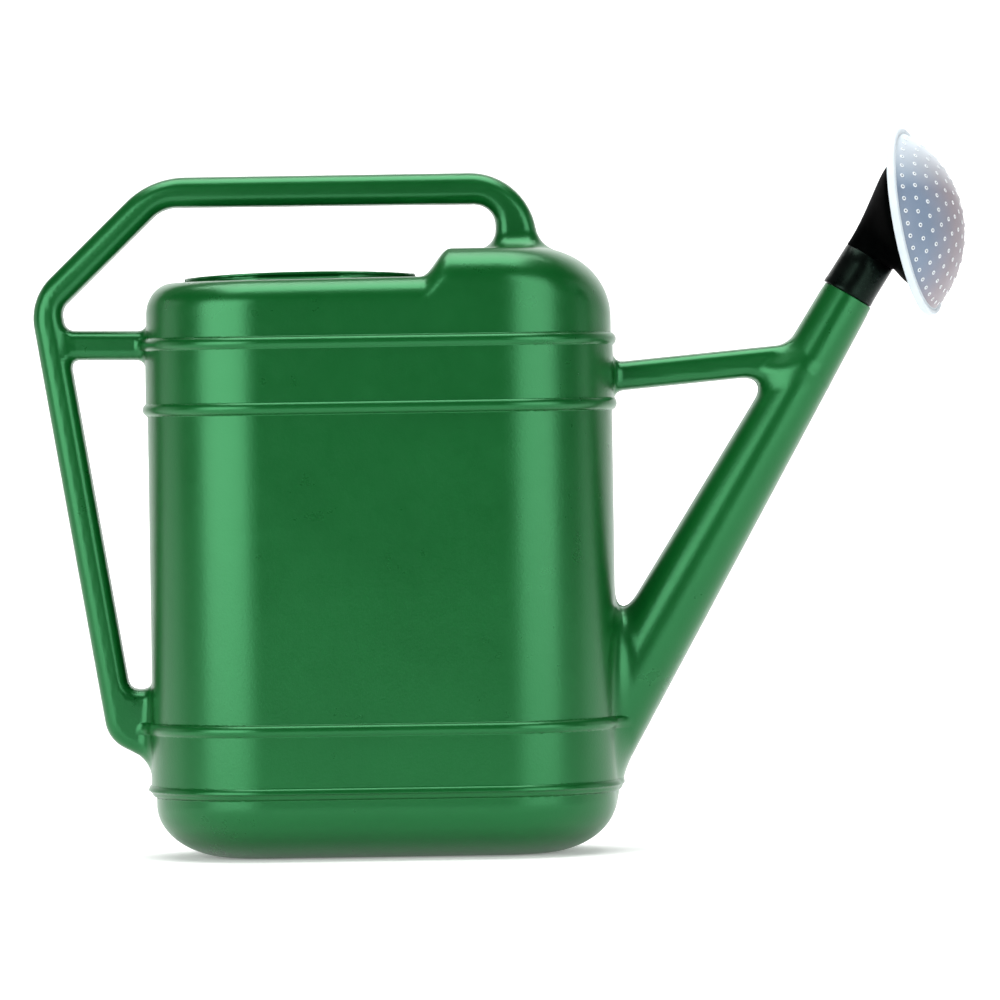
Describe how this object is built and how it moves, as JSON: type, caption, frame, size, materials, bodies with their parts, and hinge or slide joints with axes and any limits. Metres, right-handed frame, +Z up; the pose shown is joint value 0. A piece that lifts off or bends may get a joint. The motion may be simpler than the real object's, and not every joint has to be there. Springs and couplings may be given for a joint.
{
  "type": "watering can",
  "caption": "Blow-moulded plastic watering can with an oval tank, open top, loop handle, long braced spout and a push-fit domed rose.",
  "frame": {"origin": "centre of the tank's flat base, on the surface that it stands on", "axes": "+X towards the spout, +Z up, the can's mirror plane is XZ"},
  "size_m": [0.5597, 0.1638, 0.4308],
  "materials": {
    "can_green": "fine moulded grain, soft sheen",
    "rose_black": "smooth injection moulded",
    "rose_pale": "translucent milky white"
  },
  "bodies": {
    "can": {"tank_base": "can_green", "tank_wall": "can_green", "tank_shoulder": "can_green", "fill_rim": "can_green", "handle_front_leg": "can_green", "handle_grip": "can_green", "handle_rear_slope": "can_green", "handle_rear_leg": "can_green", "handle_foot": "can_green", "rear_strut": "can_green", "spout": "can_green", "spout_brace": "can_green"},
    "rose_collar": {"rose_sleeve": "rose_black"},
    "rose_head": {"rose_funnel": "rose_black"},
    "rose_plate": {"rose_rim": "rose_pale", "rose_face": "rose_pale"}
  },
  "joints": [
    {"name": "rose_pull_off", "type": "slide", "parent": "can", "child": "rose_collar", "axis": [0.5075, 0, 0.8616], "range_m": [0, 0.026]},
    {"name": "rose_swivel", "type": "hinge", "parent": "rose_collar", "child": "rose_head", "pos_m": [0.282, 0, 0.331], "axis": [0.5075, 0, 0.8616], "continuous": true},
    {"name": "face_unclip", "type": "slide", "parent": "rose_head", "child": "rose_plate", "axis": [0.9543, -0.2542, 0.1572], "range_m": [0, 0.02]}
  ]
}
